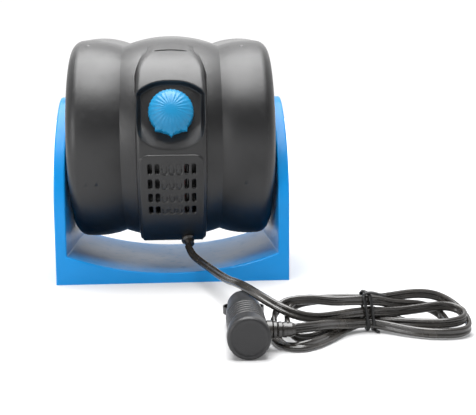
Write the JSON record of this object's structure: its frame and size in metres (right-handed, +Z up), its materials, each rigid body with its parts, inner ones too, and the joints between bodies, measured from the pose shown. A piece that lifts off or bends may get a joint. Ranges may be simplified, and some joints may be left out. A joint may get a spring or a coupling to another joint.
{
  "type": "blower fan",
  "caption": "Small vehicle blower: a drum-shaped head tilts between the arms of a U stand, with a speed knob, a vented control cover and a lead ending in a lighter plug.",
  "frame": {"origin": "centre of the stand's underside, on the surface it stands on", "axes": "+Z up; the tilt axis runs along X; the control side with the knob faces -Y and the air outlet faces +Y"},
  "size_m": [0.2505, 0.3249, 0.1841],
  "materials": {
    "blue_gloss": "glossy blue moulded plastic",
    "knob_blue": "satin blue moulded plastic",
    "housing_black": "satin black moulded plastic",
    "inner_black": "plain black moulded plastic",
    "soft_rubber": "matt black rubber",
    "cord_black": "satin black flexible vinyl",
    "tie_black": "black coated wire",
    "plug_black": "semi-gloss black moulded plastic",
    "nickel": "bright nickel plate",
    "steel": "ground steel",
    "zinc_steel": "zinc-plated steel",
    "lamination_steel": "stacked steel laminations",
    "ferrite": "sintered ferrite",
    "carbon": "pressed carbon",
    "copper": "enamelled copper",
    "sintered_bronze": "oil-filled sintered bronze",
    "brass": "brass",
    "white_nylon": "natural nylon",
    "green_board": "green solder mask",
    "chip_black": "moulded black epoxy",
    "red_wire": "red vinyl insulation",
    "black_wire": "black vinyl insulation",
    "fuse_glass": "clear glass tube"
  },
  "bodies": {
    "stand": {"stand_bracket": "blue_gloss", "base_pads": "soft_rubber", "friction_washer_left": "soft_rubber", "friction_washer_right": "soft_rubber", "pivot_cap_left": "blue_gloss", "pivot_cap_right": "blue_gloss", "plug_end_cap": "plug_black", "plug_shell_upper": "plug_black", "plug_shell_lower": "plug_black", "plug_nose_ring": "plug_black", "spring_seat": "brass", "contact_spring": "steel", "plug_strain_relief": "cord_black", "cord_lead": "cord_black", "cord_tail": "cord_black", "cord_hank": "cord_black", "twist_tie": "tie_black"},
    "blower_head": {"rear_shell": "housing_black", "front_shell": "housing_black", "side_cover_left": "housing_black", "side_cover_right": "housing_black", "control_cover": "housing_black", "outlet_grille": "housing_black", "scroll_wall_left": "inner_black", "scroll_wall_right": "inner_black", "motor_case": "zinc_steel", "motor_end_bell": "white_nylon", "motor_bearings": "sintered_bronze", "motor_magnets": "ferrite", "motor_brushes": "carbon", "motor_cradle": "inner_black", "motor_strap": "zinc_steel", "strap_screws": "zinc_steel", "speed_control": "zinc_steel", "control_board": "green_board", "board_screws": "zinc_steel", "board_components": "chip_black", "motor_lead_upper": "red_wire", "motor_lead_lower": "black_wire", "supply_lead_left": "red_wire", "supply_lead_right": "black_wire", "side_cover_screws": "zinc_steel", "pivot_screws": "zinc_steel", "cord_gland": "cord_black"},
    "rotor": {"motor_shaft": "steel", "armature_core": "lamination_steel", "armature_windings": "copper", "commutator": "copper", "impeller_left": "inner_black", "impeller_right": "inner_black"},
    "knob": {"speed_knob": "knob_blue", "speed_shaft": "steel"},
    "plug_pin": {"centre_pin": "nickel", "fuse_glass": "fuse_glass", "fuse_caps": "nickel"},
    "left_contact": {"side_contact_left": "nickel"},
    "right_contact": {"side_contact_right": "nickel"}
  },
  "joints": [
    {"name": "head_tilt", "type": "hinge", "parent": "stand", "child": "blower_head", "pos_m": [0, 0, 0.1], "axis": [1, 0, 0], "range_deg": [-35, 12], "deforming": ["cord_lead"]},
    {"name": "rotor_spin", "type": "hinge", "parent": "blower_head", "child": "rotor", "pos_m": [0, 0.004, 0.095], "axis": [1, 0, 0], "continuous": true},
    {"name": "knob_turn", "type": "hinge", "parent": "blower_head", "child": "knob", "pos_m": [0, -0.07727, 0.12071], "axis": [0, 0.9659, -0.2588], "range_deg": [0, 270]},
    {"name": "pin_press", "type": "slide", "parent": "stand", "child": "plug_pin", "axis": [-0.035, -0.9991, 0.022], "range_m": [0, 0.0025], "stiffness_N_per_m": 900, "springref_m": -0.001, "deforming": ["contact_spring"]},
    {"name": "left_contact_press", "type": "slide", "parent": "stand", "child": "left_contact", "axis": [-1, 0, 0], "range_m": [0, 0.0014], "stiffness_N_per_m": 1500, "springref_m": -0.0003},
    {"name": "right_contact_press", "type": "slide", "parent": "stand", "child": "right_contact", "axis": [1, 0, 0], "range_m": [0, 0.0014], "stiffness_N_per_m": 1500, "springref_m": -0.0003}
  ]
}
